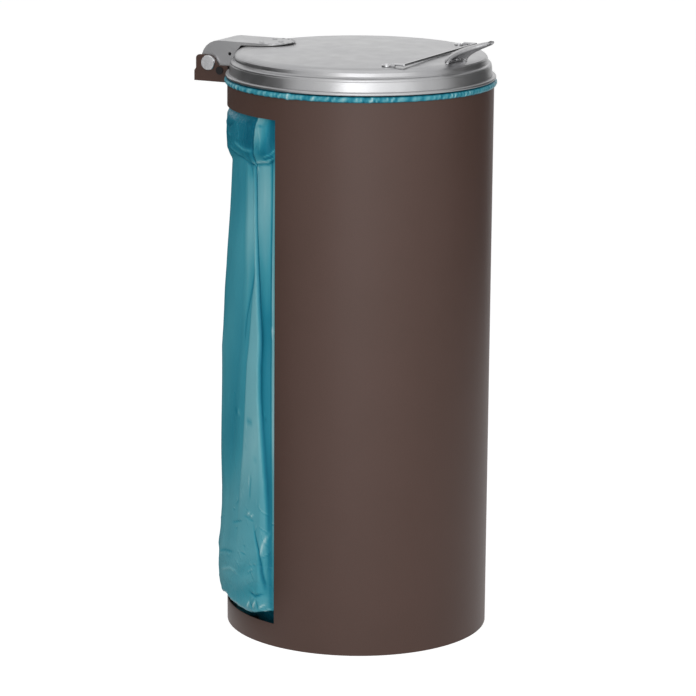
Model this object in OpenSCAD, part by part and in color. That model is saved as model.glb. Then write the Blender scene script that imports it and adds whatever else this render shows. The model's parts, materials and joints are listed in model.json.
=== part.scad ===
// Round steel waste bin with a sack.
// The bin stands on the floor, the origin is the centre of its underside,
// the lid's hinge and the open side face +Y and the lid's grip faces -Y.

/* [Shell] */
// Outer diameter of the shell
shell_d = 400; // [360:2:440]
// Height of the shell without ring and lid
shell_h = 836; // [760:2:900]
// Thickness of the shell's sheet
shell_t = 1.5; // [1:0.1:2]
// Height of the closed band under the opening
lower_band = 35; // [30:1:60]
// Height of the closed band over the opening
upper_band = 34; // [32:1:60]
// Half the angle of the opening, measured from the back
opening_half = 77.5; // [70:0.5:80]

/* [Base plate] */
// Thickness of the base plate's sheet
base_t = 1.5; // [1:0.1:2.5]
// Height of the base plate's upturned rim
base_rim = 18; // [12:1:24]
// Radius of the bend between floor and rim
base_bend = 5; // [3:0.5:8]
// Clearance between pieces that seat in each other
seat_gap = 0.3; // [0.2:0.05:0.4]

/* [Sack ring] */
// Diameter of the ring's bead
bead_d = 7; // [6:0.5:9]
// Depth of the collar that drops into the shell
collar_h = 14; // [10:1:16]
// Thickness of the collar's sheet
collar_t = 1.2; // [1:0.1:1.5]

/* [Sack] */
// Thickness of the film
film_t = 0.8; // [0.6:0.1:1.2]
// How far the sack bulges out of the opening, past the shell
sack_bulge = 14; // [4:1:18]
// How far the sack is drawn in under its upper bulge
sack_pinch = 9; // [4:1:14]
// Height of the pinch above the floor
pinch_z = 712; // [680:1:730]
// Number of pleats round the sack
pleats = 17; // [11:2:21]
// Depth of the pleats
pleat_depth = 5.6; // [1:0.2:7]
// Room between shell and sack for the bracket's nuts
nut_room = 8; // [7:0.5:12]
// Number of columns in the sack's skin
sack_columns = 68; // [48:4:72]

/* [Hinge] */
// Distance of the hinge pin behind the shell
pin_back = 37; // [34:1:44]
// Height of the hinge pin above the shell's top edge
pin_over_shell = 18; // [16:0.5:22]
// Diameter of the hinge pin
pin_d = 12; // [8:0.5:14]
// Radial clearance of the pin in its bores
pin_fit = 0.05; // [0.02:0.01:0.09]
// Diameter of the pin's flat head and of its cap
pin_head_d = 23; // [20:0.5:26]
// Thickness of the pin's flat head and of its cap
pin_head_t = 4.3; // [3:0.1:6]
// Thickness of the bracket's sheet
bracket_t = 3; // [2:0.1:4]
// Height of the bracket's ears behind the pin
bracket_h = 40; // [36:1:46]
// How far the bracket reaches behind the pin
bracket_back = 25; // [22:0.5:30]
// Diameter of the stop pin
stop_d = 10; // [6:0.5:11]
// Distance of the stop pin in front of the hinge pin
stop_y = 19; // [17:0.5:20]
// Distance of the stop pin under the hinge pin
stop_z = 11; // [9:0.5:12]
// Diameter of the bracket's screws
screw_d = 6; // [4:0.5:6]
// Distance between the bracket's screws
screw_pitch = 44; // [36:1:50]

/* [Lid arm] */
// Outer width of the arm
arm_w = 72; // [60:1:76]
// Thickness of the arm's sheet
arm_t = 2.5; // [1.5:0.1:3]
// Radius of the arm's rounded back
arm_back_r = 30; // [28:0.5:32]
// How far the tongue's end lies in from the shell
tongue_in = 87; // [70:1:100]
// Thickness of the washers between arm and bracket
washer_t = 1; // [0.8:0.1:1.6]
// Diameter of the small hole in the arm's cheeks
cheek_hole_d = 5; // [3:0.5:7]

/* [Lid] */
// Height of the lid from its hem to its shoulder
lid_skirt_h = 23; // [18:1:28]
// How far the lid's shoulder edge lies in from the shell
shoulder_in = 10; // [8:0.5:14]
// Height of the rounded shoulder
shoulder_h = 10.5; // [8:0.5:14]
// Width of the rounded shoulder
shoulder_w = 16; // [10:1:22]
// Rise of the lid's shallow crown
crown_h = 4; // [2:0.5:8]
// Thickness of the lid's sheet
lid_t = 1.5; // [1:0.1:2]
// Diameter of the lid's rolled hem
hem_d = 5.2; // [4:0.2:6]

/* [Grip and bar] */
// Width of the grip at its root
grip_w = 48; // [36:1:56]
// Thickness of the grip's sheet
grip_t = 2.2; // [1.6:0.1:3]
// Thickness of the grip's beaded edge
grip_bead = 5; // [3:0.2:6]
// How far the grip reaches past the shoulder's edge
grip_reach = 50; // [36:1:60]
// Height of the grip's tip above the lid's crown
grip_rise = 29.8; // [20:0.2:36]
// Angle of the grip from the lid's front
grip_turn = 12; // [0:1:15]
// Diameter of the cross bar
bar_d = 4; // [3:0.5:6]
// How far the cross bar lies in from the shell's front
bar_in = 69; // [64:1:80]
// Half the length of the cross bar, as a share of the shell's radius
bar_share = 0.64; // [0.5:0.01:0.65]
// Length of the bar's cranked ends
crank_len = 24; // [16:1:32]
// Diameter of the rivets on the lid
rivet_d = 5; // [4:0.5:6]

/* [Hidden] */
$fn = 96;
round_fn = 180;

shell_r = shell_d / 2;
shell_in = shell_r - shell_t;
opening_top = shell_h - upper_band;
shoulder_r = shell_r - shoulder_in;
pin_y = shell_r + pin_back;
tongue_y = shell_r - tongue_in;
bar_y = shell_r - bar_in;
bar_half = bar_share * shell_r;

// Sack ring
bead_r = bead_d / 2;
bead_z = shell_h + bead_r + 0.1;
collar_out = shell_in - seat_gap;
film_gap = 0.2;
film_top = bead_z + bead_r + film_gap + film_t;

// Hinge
pin_z = shell_h + pin_over_shell;
pin_bore_r = pin_d / 2 + pin_fit;
side_gap = washer_t + 0.2;
ear_in = arm_w / 2 + side_gap;
ear_out = ear_in + bracket_t;
ear_top = pin_z + 11.5;
ear_bottom = ear_top - bracket_h;
stop_pos = [pin_y - stop_y, pin_z - stop_z];
screw_z = opening_top + 11;
plate_half = 9;
backing_t = 1.3;
backing_r = shell_in - backing_t - 0.15;
nut_t = 0.6 * screw_d;
nut_y = sqrt(pow(backing_r, 2) - pow(screw_pitch / 2 + screw_d, 2)) - 0.1 - nut_t;
head_y = shell_r + seat_gap + bracket_t + 0.1;
saddle_top = shell_h - 6;

// Lid
hem_r = hem_d / 2;
hem_z = film_top + 0.6 + hem_r;
shoulder_z = hem_z - hem_r + lid_skirt_h + shoulder_h - 3.5;
flat_r = shoulder_r - shoulder_w;
flat_z = shoulder_z + shoulder_h - 2.5;
crown_r = (flat_r * flat_r + crown_h * crown_h) / (2 * crown_h);
crown_top = flat_z + crown_h;
hem_x = shell_r + 0.2;

// Height of the lid's upper face at a distance from its middle, on the crown
function crown_z(r) = crown_top - crown_r + sqrt(crown_r * crown_r - r * r);

// A point on an arc
function on_arc(c, rx, ry, a) = [c.x + rx * cos(a), c.y + ry * sin(a)];

// A cubic curve through four control points
function curve(p, t) =
    pow(1 - t, 3) * p[0] + 3 * t * pow(1 - t, 2) * p[1]
    + 3 * t * t * (1 - t) * p[2] + t * t * t * p[3];
function slope(p, t) =
    3 * pow(1 - t, 2) * (p[1] - p[0]) + 6 * t * (1 - t) * (p[2] - p[1])
    + 3 * t * t * (p[3] - p[2]);
function side(v) = [-v.y, v.x] / norm(v);

// A smooth step from 0 to 1
function smooth(x) = let (s = max(0, min(1, x))) s * s * (3 - 2 * s);

module shell() {
    color([0.33, 0.26, 0.23])
    difference() {
        rotate_extrude($fn = round_fn)
            translate([shell_in, 0])
                square([shell_t, shell_h]);
        translate([0, 0, lower_band])
            linear_extrude(opening_top - lower_band)
                opening_wedge();
        screw_holes(shell_in - 2, 2 * shell_t + 4);
    }
}

// The plan of the opening at the back
module opening_wedge() {
    reach = 2 * shell_r;
    polygon([
        [0, 0],
        [reach * sin(opening_half), reach * cos(opening_half)],
        [reach * sin(opening_half), reach],
        [-reach * sin(opening_half), reach],
        [-reach * sin(opening_half), reach * cos(opening_half)]
    ]);
}

// Holes for the bracket's screws, from one distance behind the middle
module screw_holes(from, length) {
    for (x = [-1, 1] * screw_pitch / 2)
        translate([x, from - 4, screw_z])
            rotate([-90, 0, 0])
                cylinder(d = screw_d + 0.4, h = length + 12);
}

module base_plate() {
    out = shell_in - seat_gap;
    inner_bend = base_bend - base_t;
    color([0.30, 0.24, 0.21])
    rotate_extrude($fn = round_fn)
        polygon(concat(
            [[0, 0], [out - base_bend, 0]],
            [for (a = [-75:15:-15])
                on_arc([out - base_bend, base_bend], base_bend, base_bend, a)],
            [[out, base_bend], [out, base_rim], [out - base_t, base_rim], [out - base_t, base_bend]],
            [for (a = [-15:-15:-75])
                on_arc([out - base_bend, base_bend], inner_bend, inner_bend, a)],
            [[out - base_bend, base_t], [0, base_t]]
        ));
}

module sack_ring() {
    color([0.62, 0.63, 0.64])
    rotate_extrude($fn = round_fn) {
        translate([shell_r, bead_z])
            circle(bead_r, $fn = 32);
        translate([collar_out - collar_t, bead_z - collar_h])
            square([collar_t, collar_h]);
    }
}

// Outline of the sack where it bulges out: height, and how far past the shell
// as a share of the bulge. The shares under zero are the pinch.
sack_outline = [
    [lower_band + 2.5, -0.2], [lower_band + 12, 0.76], [78, 1], [112, 1], [141, 0.78],
    [204, 0.5], [267, 0.58], [425, 0.58], [519, 0.22], [582, -0.1],
    [645, -0.42]
];
upper_outline = [[pinch_z + 28, 0.1], [760, 0.16], [782, 0.08], [opening_top - 4, -0.18]];

function share_at(list, z, i = 0) =
    z <= list[0].x ? list[0].y :
    i >= len(list) - 1 ? list[len(list) - 1].y :
    z <= list[i + 1].x
        ? let (s = smooth((z - list[i].x) / (list[i + 1].x - list[i].x)))
            list[i].y + (list[i + 1].y - list[i].y) * s
        : share_at(list, z, i + 1);

film_in = collar_out - collar_t - film_gap;
pinch_share = -sack_pinch / sack_bulge;
whole_outline = concat(
    sack_outline,
    [[pinch_z - 24, pinch_share], [pinch_z + 4, pinch_share]],
    upper_outline
);

// Radius of the sack's outer skin at a height and an angle from the back
function sack_r(z, a) =
    let (
        open = smooth((opening_half - 2.5 - abs(a)) / 12)
            * smooth((z - lower_band - 2) / 8) * smooth((opening_top - 3 - z) / 16),
        hang = 1 - smooth(abs(z - pinch_z) / 420),
        folds = pleat_depth * hang * smooth((bead_z - collar_h - 4 - z) / 40)
            * (0.6 * cos(a * pleats + z * 0.05) + 0.4 * cos(a * (pleats + 6) - 40)),
        crumple = 1.6 * smooth((170 - z) / 120) * cos(a * 9 + z * 3.1) * cos(z * 2.3),
        inside = film_in - 1 - (nut_room - 1) * smooth((bead_z - 4 - z) / 14)
            - sack_pinch * (1 - smooth(abs(z - pinch_z) / 60)) * 0.6,
        outside = shell_r + sack_bulge * share_at(whole_outline, z) - pleat_depth * hang
    )
    inside * (1 - open) + outside * open
    + (folds + crumple * open) * (0.35 + 0.65 * open);

sack_levels = concat(
    [8, 22, lower_band + 2, lower_band + 7, lower_band + 14],
    [64, 80, 98, 116, 138, 170, 215, 270, 340, 410, 470, 530, 585, 635, 672],
    [pinch_z - 18, pinch_z, pinch_z + 12, pinch_z + 28, 762, 784],
    [opening_top - 8, opening_top + 6, bead_z - 16, bead_z - 7]
);

// Rings of the sack's outer skin (t = 0) or inner skin (t = film_t)
function sack_rings(t) = concat(
    [for (share = [0.31, 0.66, 0.9])
        let (r = share * film_in)
        [for (k = [0:sack_columns - 1])
            let (a = 360 * k / sack_columns)
            [r * sin(a), r * cos(a), base_t + seat_gap + t + (share > 0.8 ? 1.2 : 0)]]],
    [for (z = sack_levels)
        [for (k = [0:sack_columns - 1])
            let (
                a = 360 * k / sack_columns,
                back = a > 180 ? a - 360 : a,
                low = 1 - smooth((z - 4) / 30),
                widest = z < lower_band + 3 ? film_in - 2 : shell_d,
                r = min(sack_r(z, back), widest) - 9 * low - t
            )
            [r * sin(a), r * cos(a), z]]],
    [for (b = [180:-30:-30])
        let (
            wrap = bead_r + film_gap + film_t - t,
            p = on_arc([shell_r, bead_z], wrap, wrap, b)
        )
        [for (k = [0:sack_columns - 1])
            let (a = 360 * k / sack_columns)
            [p.x * sin(a), p.x * cos(a), p.y]]]
);

module sack() {
    outer = sack_rings(0);
    inner = sack_rings(film_t);
    n = sack_columns;
    m = len(outer);
    floor_z = base_t + seat_gap;
    points = concat(
        [for (ring = outer) each ring],
        [for (ring = inner) each ring],
        [[0, 0, floor_z], [0, 0, floor_z + film_t]]
    );
    low = 2 * n * m;
    faces = concat(
        [for (i = [0:m - 2], k = [0:n - 1]) each
            let (a = i * n + k, b = i * n + (k + 1) % n)
            [[a, a + n, b + n], [a, b + n, b]]],
        [for (i = [0:m - 2], k = [0:n - 1]) each
            let (a = n * m + i * n + k, b = n * m + i * n + (k + 1) % n)
            [[a, b + n, a + n], [a, b, b + n]]],
        [for (k = [0:n - 1]) [low, k, (k + 1) % n]],
        [for (k = [0:n - 1]) [low + 1, n * m + (k + 1) % n, n * m + k]],
        [for (k = [0:n - 1]) each
            let (a = (m - 1) * n + k, b = (m - 1) * n + (k + 1) % n)
            [[a, a + n * m, b + n * m], [a, b + n * m, b]]]
    );
    color([0.30, 0.62, 0.68])
    polyhedron(points, faces, convexity = 8);
}

// Side outline of the bracket's ears, as distance behind the middle and height
module ear_outline() {
    back = pin_y + bracket_back;
    corner = 6;
    front = shell_r + 5;
    polygon(concat(
        [[shell_r - 6, ear_bottom], [back, ear_bottom], [back, pin_z - 13], [back - 3, pin_z - 9]],
        [for (a = [0:15:90]) on_arc([back - 3 - corner, ear_top - corner], corner, corner, a)],
        [for (a = [90:15:150]) on_arc([pin_y, pin_z], 11.5, 11.5, a)],
        [[pin_y - 16, pin_z - 3.5], [front, pin_z - 3.5], [front - 1, shell_h + 2]],
        [[shell_r + 4, shell_h - 2], [shell_r - 6, shell_h - 2]]
    ));
}

module hinge_bracket() {
    color([0.27, 0.20, 0.19])
    difference() {
        union() {
            across(-ear_out, 2 * ear_out)
                ear_outline();
            saddle(shell_r + seat_gap, bracket_t, 2 * ear_out, screw_z - plate_half, saddle_top);
        }
        across(-ear_in, 2 * ear_in)
            polygon([
                [shell_r + 3 + bracket_t, ear_bottom + bracket_t],
                [pin_y + 2 * bracket_back, ear_bottom + bracket_t],
                [pin_y + 2 * bracket_back, pin_z + bracket_h], [shell_r - 20, pin_z + bracket_h],
                [shell_r - 20, shell_h - 4], [shell_r + 3 + bracket_t, shell_h - 4]
            ]);
        translate([0, 0, ear_bottom - bracket_h])
            cylinder(r = shell_r + seat_gap, h = 3 * bracket_h, $fn = round_fn);
        across(-ear_out - 1, 2 * ear_out + 2) {
            translate([pin_y, pin_z])
                circle(pin_bore_r);
            translate(stop_pos)
                circle(stop_d / 2 + pin_fit);
        }
        screw_holes(shell_in, 3 * bracket_t);
    }
}

// Extrudes an outline of distance and height across the bin
module across(from, width) {
    translate([from, 0, 0])
        rotate([90, 0, 90])
            linear_extrude(width)
                children();
}

// A plate bent to the shell, behind the upper band
module saddle(r, t, width, low, high) {
    translate([0, 0, low])
        linear_extrude(high - low)
            intersection() {
                difference() {
                    circle(r + t, $fn = round_fn);
                    circle(r, $fn = round_fn);
                }
                translate([-width / 2, r - 20])
                    square([width, 60]);
            }
}

module backing_plate() {
    color([0.60, 0.60, 0.61])
    difference() {
        saddle(backing_r, backing_t, screw_pitch + 22, screw_z - plate_half, screw_z + plate_half);
        screw_holes(shell_in - 10, 20);
    }
}

module bracket_screws() {
    color([0.66, 0.66, 0.68])
    for (x = [-1, 1] * screw_pitch / 2)
        translate([x, 0, screw_z])
            rotate([-90, 0, 0]) {
                translate([0, 0, nut_y - 0.5])
                    cylinder(d = screw_d, h = head_y - nut_y + 1);
                translate([0, 0, head_y])
                    cylinder(d1 = 1.9 * screw_d, d2 = 1.3 * screw_d, h = 0.5 * screw_d);
            }
}

module bracket_nuts() {
    color([0.66, 0.66, 0.68])
    for (x = [-1, 1] * screw_pitch / 2)
        translate([x, 0, screw_z])
            rotate([-90, 0, 0])
                translate([0, 0, nut_y])
                    difference() {
                        cylinder(d = 1.8 * screw_d, h = nut_t, $fn = 6);
                        translate([0, 0, -1])
                            cylinder(d = screw_d + 0.1, h = nut_t + 2);
                    }
}

module hinge_pin() {
    chamfer = 0.8;
    color([0.78, 0.79, 0.80])
    translate([-ear_out, pin_y, pin_z])
        rotate([0, 90, 0]) {
            cylinder(d = pin_d, h = 2 * ear_out + pin_head_t / 2);
            translate([0, 0, -pin_head_t - 0.1]) {
                cylinder(d1 = pin_head_d - 2 * chamfer, d2 = pin_head_d, h = chamfer);
                translate([0, 0, chamfer])
                    cylinder(d = pin_head_d, h = pin_head_t - chamfer);
            }
            translate([0, 0, -1])
                cylinder(d = pin_d, h = 2);
        }
}

module pin_cap() {
    chamfer = 0.8;
    color([0.78, 0.79, 0.80])
    translate([ear_out + 0.1, pin_y, pin_z])
        rotate([0, 90, 0])
            difference() {
                union() {
                    cylinder(d = pin_head_d, h = pin_head_t - chamfer);
                    translate([0, 0, pin_head_t - chamfer])
                        cylinder(d1 = pin_head_d, d2 = pin_head_d - 2 * chamfer, h = chamfer);
                }
                translate([0, 0, -1])
                    cylinder(r = pin_bore_r, h = pin_head_t / 2 + 1.2);
            }
}

module hinge_washers() {
    color([0.72, 0.73, 0.74])
    for (s = [-1, 1])
        translate([s * (arm_w / 2 + side_gap / 2), pin_y, pin_z])
            rotate([0, 90, 0])
                difference() {
                    cylinder(d = pin_d + 9, h = washer_t, center = true);
                    cylinder(r = pin_bore_r, h = 3 * washer_t, center = true);
                }
}

module stop_pin() {
    color([0.40, 0.40, 0.42])
    translate([-ear_out - 0.1, stop_pos.x, stop_pos.y])
        rotate([0, 90, 0]) {
            cylinder(d = stop_d, h = 2 * ear_out + 0.2);
            translate([0, 0, -1.6])
                cylinder(d = stop_d + 2, h = 1.6);
        }
}

module stop_cap() {
    color([0.40, 0.40, 0.42])
    translate([ear_out + 0.15, stop_pos.x, stop_pos.y])
        rotate([0, 90, 0])
            cylinder(d = stop_d + 2, h = 1.6);
}

// Outer face of the lid from the middle to the hem
lid_face = concat(
    [for (i = [0:8]) let (r = flat_r * i / 8) [r, crown_z(r)]],
    [for (a = [75:-15:0]) on_arc([flat_r, flat_z - shoulder_h + 2], shoulder_w, shoulder_h - 2, a)],
    [[shoulder_r, shoulder_z - 3.5], [shoulder_r + 1.2, shoulder_z - 5.6],
     [shoulder_r + 4.2, shoulder_z - 6.6], [shoulder_r + 5.4, shoulder_z - 8],
     [shoulder_r + 5.4, shoulder_z - 9.6], [shoulder_r + 6, shoulder_z - 11],
     [shoulder_r + 7.4, hem_z + hem_r]],
    [for (a = [105:-15:-180]) on_arc([hem_x, hem_z], hem_r, hem_r, a)]
);
lid_wall = [
    for (i = [len(lid_face) - 21:-1:0])
        [max(0, lid_face[i].x - lid_t), lid_face[i].y - lid_t]
];

module lid_body() {
    rotate_extrude($fn = round_fn)
        polygon(concat(lid_face, [[hem_x - hem_r - 0.6, hem_z + 1]], lid_wall));
}

module lid() {
    color([0.72, 0.73, 0.74])
    difference() {
        lid_body();
        for (p = concat(arm_rivet_places(), bar_rivet_places(), grip_rivet_places()))
            rivet_hole(p);
    }
}

// Where the rivets go through the lid
function arm_rivet_places() = [
    [0, tongue_y + 0.3 * arm_w],
    [-0.3 * arm_w, tongue_y + 0.6 * arm_w],
    [0.3 * arm_w, tongue_y + 0.6 * arm_w]
];
function bar_rivet_places() = [for (s = [-1, 1]) [s * bar_half, -bar_y + crank_len + 4]];
function grip_rivet_places() = [
    for (x = [-1, 1] * rivet_side)
        [x * cos(grip_turn) - rivet_y * sin(grip_turn), -x * sin(grip_turn) - rivet_y * cos(grip_turn)]
];

// A hole for a rivet, through everything on the lid
module rivet_hole(p) {
    translate([p.x, p.y, shoulder_z - shoulder_h])
        cylinder(d = rivet_d + 0.2, h = 4 * shoulder_h);
}

// The grip is a scoop: two edge lines and, between them, a back line that lies
// higher and further in. Each is given as distance behind the middle and height.
grip_tip = [-shoulder_r - grip_reach, crown_top + grip_rise];
grip_edge = [
    [-shoulder_r + 0.06 * grip_reach, shoulder_z - 0.5 * shoulder_h],
    [-shoulder_r + 0.52 * grip_reach, shoulder_z + shoulder_h],
    [-shoulder_r + 0.18 * grip_reach, shoulder_z + 0.75 * grip_rise],
    grip_tip
];
grip_back = [
    [-shoulder_r + 0.6 * grip_reach, shoulder_z + 0.4 * shoulder_h],
    [-shoulder_r + 0.6 * grip_reach, shoulder_z + 0.61 * grip_rise],
    [-shoulder_r, shoulder_z + 1.12 * grip_rise],
    grip_tip + [0, 1.5]
];
grip_steps = concat([for (i = [0:10]) 0.07 * i], [0.76, 0.82, 0.87, 0.91, 0.945, 0.97, 0.985]);
grip_shares = [-1, -0.93, -0.8, -0.6, -0.4, -0.2, 0, 0.2, 0.4, 0.6, 0.8, 0.93, 1];

// Half the grip's width, which ends in a rounded tip
function grip_half(t) =
    let (u = max(0, (t - 0.7) / 0.3))
    (0.5 - 0.08 * t) * grip_w * sqrt(1 - u * u);

// A point in the middle of the grip's sheet: share of the half width, share of the length
function grip_mid(s, t) =
    let (
        edge = curve(grip_edge, t),
        arch = 1 - pow(abs(s), 2.2),
        p = edge + arch * (curve(grip_back, t) - edge)
    )
    [s * grip_half(t), p.x, p.y];

// Directions at a point of the sheet: across it, and square to it
function grip_across(s, t) =
    let (v = grip_mid(s + 0.02, t) - grip_mid(s - 0.02, t))
    v / norm(v);
function grip_normal(s, t) =
    let (n = cross(grip_mid(s, t + 0.004) - grip_mid(s, t - 0.004), grip_across(s, t)))
    n / norm(n);

// Thickness, which grows to a bead along the edges and round the tip
function grip_thick(s, t) =
    let (
        from_edge = (1 - abs(s)) * grip_half(t),
        from_tip = norm(grip_tip - curve(grip_edge, t))
    )
    grip_t + (grip_bead - grip_t) * (1 - smooth(min(from_edge, from_tip) / grip_bead));

function grip_section(t) = concat(
    [for (s = grip_shares) grip_mid(s, t) + grip_normal(s, t) * grip_thick(s, t) / 2],
    [for (a = [45, 0, -45]) grip_rim(1, t, a)],
    [for (s = grip_shares) grip_mid(-s, t) - grip_normal(-s, t) * grip_thick(s, t) / 2],
    [for (a = [-45, 0, 45]) grip_rim(-1, t, a)]
);

// A point on the round rim of the edge bead
function grip_rim(s, t, a) =
    grip_mid(s, t)
    + (s * cos(a) * grip_across(s, t) + sin(a) * grip_normal(s, t)) * grip_thick(s, t) / 2;

module grip_scoop() {
    sections = [for (t = grip_steps) grip_section(t)];
    n = len(sections[0]);
    m = len(sections);
    polyhedron(
        [for (ring = sections) each ring],
        concat(
            [for (i = [0:m - 2], k = [0:n - 1]) each
                let (a = i * n + k, b = i * n + (k + 1) % n)
                [[a, b + n, a + n], [a, b, b + n]]],
            [[for (k = [n - 1:-1:0]) k]],
            [[for (k = [0:n - 1]) (m - 1) * n + k]]
        ),
        convexity = 6
    );
}

// A foot inside the scoop lies on the lid and takes its rivets
rivet_side = 7;
rivet_y = flat_r - 2;
grip_foot_t = 1.6;
grip_foot_z = crown_z(rivet_y - 8) + 0.1;

module grip() {
    color([0.66, 0.67, 0.68])
    difference() {
        rotate([0, 0, -grip_turn]) {
            difference() {
                grip_scoop();
                rotate_extrude($fn = round_fn)
                    lid_room();
            }
            translate([0, 0, grip_foot_z])
                linear_extrude(grip_foot_t)
                    polygon([
                        [-6, -flat_r + 12], [6, -flat_r + 12], [14, -flat_r + 8], [18, -flat_r + 2],
                        [17, -flat_r - 3], [-17, -flat_r - 3], [-18, -flat_r + 2], [-14, -flat_r + 8]
                    ]);
        }
        for (p = grip_rivet_places())
            rivet_hole(p);
    }
}

// The room under the lid's outer face, with a little clearance over it
module lid_room() {
    translate([0, 0.35])
        polygon(concat(
            [[0, shoulder_z - 6 * shoulder_h], [0, crown_top]],
            [for (p = lid_face) if (p.x > 0) p + [seat_gap, 0]],
            [[hem_x - hem_r, shoulder_z - 6 * shoulder_h]]
        ));
}

module grip_rivets() {
    color([0.74, 0.75, 0.76])
    for (p = grip_rivet_places())
        translate([p.x, p.y, 0])
            rivet(grip_foot_z + grip_foot_t, crown_z(rivet_y) - lid_t - 0.4);
}

// Side outline of the arm, as distance behind the middle and height
arm_top = crown_z(tongue_y) + arm_t + 0.4;
arm_c = [pin_y - 15, arm_top - arm_back_r];
stop_top = stop_pos.y + stop_d / 2 + seat_gap;

module arm_outline(inset, down) {
    r = arm_back_r - inset;
    front = tongue_y - 10;
    polygon(concat(
        [[front, arm_top - inset - down], [front, arm_top - inset], [arm_c.x, arm_top - inset]],
        [for (a = [75:-15:15]) on_arc(arm_c, r, r, a)],
        [[arm_c.x + r, arm_c.y], [pin_y + 11.5 - inset, pin_z - down]],
        [for (a = [-30:-30:-120]) on_arc([pin_y, pin_z - down], 11 - inset, 11, a)],
        [[pin_y - 10, stop_top - down], [shell_r + 5, stop_top - down]],
        [[shell_r - 1, pin_z + 3 - down], [shoulder_r + 4, shoulder_z - 3 - down]],
        [[shoulder_r - 6, flat_z + 0.5 - down], [flat_r - 22, flat_z + 1.5 - down]]
    ));
}

module arm_plan(inset) {
    r = arm_w / 2 - inset;
    translate([0, tongue_y + arm_w / 2])
        circle(r, $fn = 64);
    translate([-r, tongue_y + arm_w / 2])
        square([2 * r, tongue_in + pin_back]);
}

module lid_arm() {
    color([0.70, 0.71, 0.72])
    difference() {
        intersection() {
            across(-arm_w / 2, arm_w)
                arm_outline(0, 0);
            translate([0, 0, pin_z - bracket_h])
                linear_extrude(3 * bracket_h)
                    arm_plan(0);
        }
        across(-arm_w / 2 + arm_t, arm_w - 2 * arm_t)
            arm_outline(arm_t, 30);
        rotate_extrude($fn = round_fn)
            lid_room();
        across(-arm_w, 2 * arm_w) {
            translate([pin_y, pin_z])
                circle(pin_bore_r);
            translate([pin_y - 34, pin_z + 15])
                circle(d = cheek_hole_d, $fn = 24);
        }
        for (p = arm_rivet_places())
            rivet_hole(p);
    }
}

// A rivet through a plate, with a low round head over it and a tail under it
module rivet(top, bottom) {
    head = rivet_d * 0.9;
    translate([0, 0, bottom - 1])
        cylinder(d = rivet_d, h = top - bottom + 1.6);
    translate([0, 0, top + 0.1])
        cylinder(r1 = head, r2 = head * 0.55, h = 1.5);
    translate([0, 0, bottom - 1.6])
        cylinder(r1 = head * 0.6, r2 = head * 0.8, h = 1.4);
}

module arm_rivets() {
    color([0.74, 0.75, 0.76])
    for (p = arm_rivet_places())
        translate([p.x, p.y, 0])
            rivet(arm_top, crown_z(norm(p)) - lid_t - 0.4);
}

bar_r = bar_d / 2;
bar_z = crown_z(bar_y) + 0.3 + bar_r;
foot_t = 1.6;
foot_z = crown_z(norm(bar_rivet_places()[1])) + 0.3;

module cross_bar() {
    color([0.76, 0.77, 0.78])
    difference() {
        union() {
            translate([-bar_half, -bar_y, bar_z])
                rotate([0, 90, 0])
                    cylinder(r = bar_r, h = 2 * bar_half, $fn = 32);
            for (s = [-1, 1])
                translate([s * bar_half, -bar_y, bar_z]) {
                    sphere(bar_r, $fn = 32);
                    rotate([-90, 0, 0])
                        cylinder(r = bar_r, h = crank_len - 4, $fn = 32);
                    translate([0, crank_len + 4, foot_z - bar_z])
                        cylinder(d = 14, h = foot_t, $fn = 40);
                    translate([-bar_r, crank_len - 10, foot_z - bar_z])
                        cube([bar_d, 8, bar_z - foot_z]);
                }
        }
        for (p = bar_rivet_places())
            rivet_hole(p);
    }
}

module bar_rivets() {
    color([0.74, 0.75, 0.76])
    for (p = bar_rivet_places())
        translate([p.x, p.y, 0])
            rivet(foot_z + foot_t, crown_z(norm(p)) - lid_t - 0.4);
}

shell();
base_plate();
sack_ring();
sack();
hinge_bracket();
backing_plate();
bracket_screws();
bracket_nuts();
hinge_pin();
pin_cap();
hinge_washers();
stop_pin();
stop_cap();
lid();
lid_arm();
arm_rivets();
cross_bar();
bar_rivets();
grip();
grip_rivets();
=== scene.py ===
import json
import math

import bmesh
import bpy
import numpy as np
from mathutils import Matrix, Vector

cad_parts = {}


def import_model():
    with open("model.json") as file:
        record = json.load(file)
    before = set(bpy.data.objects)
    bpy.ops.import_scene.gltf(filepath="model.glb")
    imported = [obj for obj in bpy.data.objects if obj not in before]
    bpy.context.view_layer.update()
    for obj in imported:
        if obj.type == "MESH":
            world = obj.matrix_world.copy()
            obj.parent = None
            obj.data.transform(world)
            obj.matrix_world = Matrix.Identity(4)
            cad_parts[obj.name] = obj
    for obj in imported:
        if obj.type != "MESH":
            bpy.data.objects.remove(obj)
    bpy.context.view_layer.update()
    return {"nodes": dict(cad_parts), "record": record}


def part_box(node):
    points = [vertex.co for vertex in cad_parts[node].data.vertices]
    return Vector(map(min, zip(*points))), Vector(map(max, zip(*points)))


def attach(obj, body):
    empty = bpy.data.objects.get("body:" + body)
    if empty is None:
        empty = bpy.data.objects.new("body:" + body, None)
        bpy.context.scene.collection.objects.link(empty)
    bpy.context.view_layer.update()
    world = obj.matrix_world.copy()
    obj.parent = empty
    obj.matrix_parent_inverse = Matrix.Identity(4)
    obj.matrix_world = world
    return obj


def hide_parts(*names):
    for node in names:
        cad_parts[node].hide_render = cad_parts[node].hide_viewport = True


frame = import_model()
NODES = frame["nodes"]

# Main sizes of the bin, in metres, as the frame has them
MM = 0.001
R = 0.200               # shell, outer radius
BEAD = (0.200, 0.8396)  # middle of the ring's bead: radius and height
BEAD_R = 0.0035
OPENING_HALF = 77.5     # degrees each side of the back
OPENING_LOW = 0.035
OPENING_TOP = 0.802
FLOOR_Z = 2.5 * MM      # where the film lies on the base plate


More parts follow.
